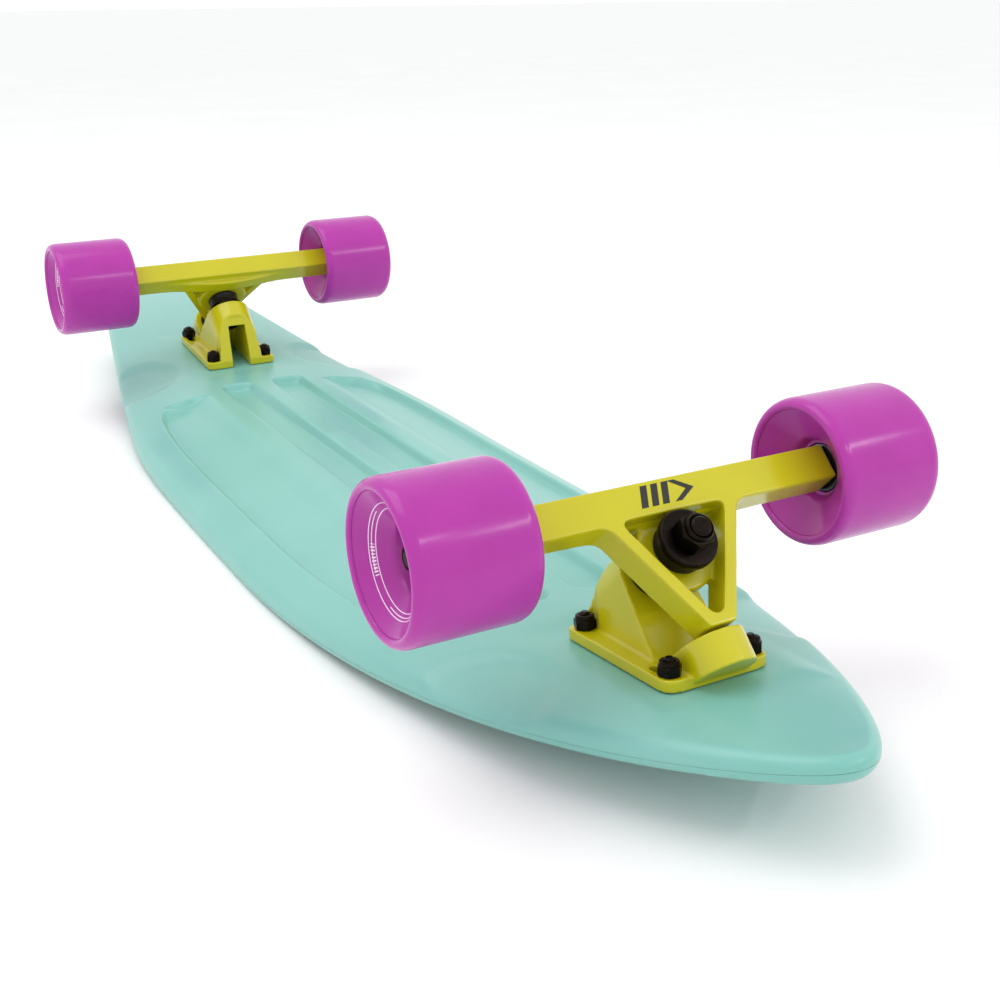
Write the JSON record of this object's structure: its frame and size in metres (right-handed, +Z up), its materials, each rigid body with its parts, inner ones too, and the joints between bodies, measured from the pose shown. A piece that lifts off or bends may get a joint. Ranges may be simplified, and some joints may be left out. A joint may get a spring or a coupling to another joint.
{
  "type": "skateboard",
  "caption": "Plastic cruiser skateboard lying upside down, with a long dished and ribbed deck, yellow steering trucks and wide purple wheels on bearings.",
  "frame": {"origin": "floor level under the middle of the deck, as the board lies upside down on the rim of its deck", "axes": "+X along the board towards its pointed nose, +Y across the board towards its left side, +Z up from the floor through the deck to the wheels"},
  "size_m": [0.914, 0.2586, 0.1343],
  "materials": {
    "deck": "satin moulded polypropylene, pale mint",
    "truck": "gloss paint over die-cast aluminium, lime yellow",
    "wheel": "gloss cast urethane, purple",
    "hardware": "satin black coating over steel",
    "steel": "ground and turned steel",
    "urethane": "satin black urethane"
  },
  "bodies": {
    "board": {"deck": "deck", "front_baseplate": "truck", "front_outer_left_bolt": "hardware", "front_outer_left_lock_nut": "hardware", "front_outer_right_bolt": "hardware", "front_outer_right_lock_nut": "hardware", "front_inner_left_bolt": "hardware", "front_inner_left_lock_nut": "hardware", "front_inner_right_bolt": "hardware", "front_inner_right_lock_nut": "hardware", "front_pivot_cup": "urethane", "front_kingpin": "hardware", "front_kingpin_nut": "hardware", "front_board_bushing": "urethane", "front_road_bushing": "urethane", "front_board_washer": "hardware", "front_road_washer": "hardware", "rear_baseplate": "truck", "rear_outer_left_bolt": "hardware", "rear_outer_left_lock_nut": "hardware", "rear_outer_right_bolt": "hardware", "rear_outer_right_lock_nut": "hardware", "rear_inner_left_bolt": "hardware", "rear_inner_left_lock_nut": "hardware", "rear_inner_right_bolt": "hardware", "rear_inner_right_lock_nut": "hardware", "rear_pivot_cup": "urethane", "rear_kingpin": "hardware", "rear_kingpin_nut": "hardware", "rear_board_bushing": "urethane", "rear_road_bushing": "urethane", "rear_board_washer": "hardware", "rear_road_washer": "hardware"},
    "front_truck": {"front_hanger": "truck", "front_axle": "steel", "front_left_axle_nut": "hardware", "front_right_axle_nut": "hardware"},
    "front_left_wheel": {"front_left_wheel": "wheel", "front_left_inner_bearing": "steel", "front_left_outer_bearing": "steel", "front_left_spacer": "steel"},
    "front_right_wheel": {"front_right_wheel": "wheel", "front_right_inner_bearing": "steel", "front_right_outer_bearing": "steel", "front_right_spacer": "steel"},
    "rear_truck": {"rear_hanger": "truck", "rear_axle": "steel", "rear_left_axle_nut": "hardware", "rear_right_axle_nut": "hardware"},
    "rear_left_wheel": {"rear_left_wheel": "wheel", "rear_left_inner_bearing": "steel", "rear_left_outer_bearing": "steel", "rear_left_spacer": "steel"},
    "rear_right_wheel": {"rear_right_wheel": "wheel", "rear_right_inner_bearing": "steel", "rear_right_outer_bearing": "steel", "rear_right_spacer": "steel"}
  },
  "joints": [
    {"name": "front_steer", "type": "hinge", "parent": "board", "child": "front_truck", "pos_m": [0.33924, 0, 0.08148], "axis": [0.712, 0, -0.7022], "range_deg": [-14, 14], "stiffness_Nm_per_rad": 30, "deforming": ["front_board_bushing", "front_road_bushing"]},
    {"name": "rear_steer", "type": "hinge", "parent": "board", "child": "rear_truck", "pos_m": [-0.26724, 0, 0.08148], "axis": [-0.712, 0, -0.7022], "range_deg": [-14, 14], "stiffness_Nm_per_rad": 30, "deforming": ["rear_board_bushing", "rear_road_bushing"]},
    {"name": "front_left_wheel_spin", "type": "hinge", "parent": "front_truck", "child": "front_left_wheel", "pos_m": [0.3285, 0.1018, 0.1005], "axis": [0, 1, 0], "continuous": true},
    {"name": "front_right_wheel_spin", "type": "hinge", "parent": "front_truck", "child": "front_right_wheel", "pos_m": [0.3285, -0.1018, 0.1005], "axis": [0, 1, 0], "continuous": true},
    {"name": "rear_left_wheel_spin", "type": "hinge", "parent": "rear_truck", "child": "rear_left_wheel", "pos_m": [-0.2565, 0.1018, 0.1005], "axis": [0, 1, 0], "continuous": true},
    {"name": "rear_right_wheel_spin", "type": "hinge", "parent": "rear_truck", "child": "rear_right_wheel", "pos_m": [-0.2565, -0.1018, 0.1005], "axis": [0, 1, 0], "continuous": true}
  ]
}
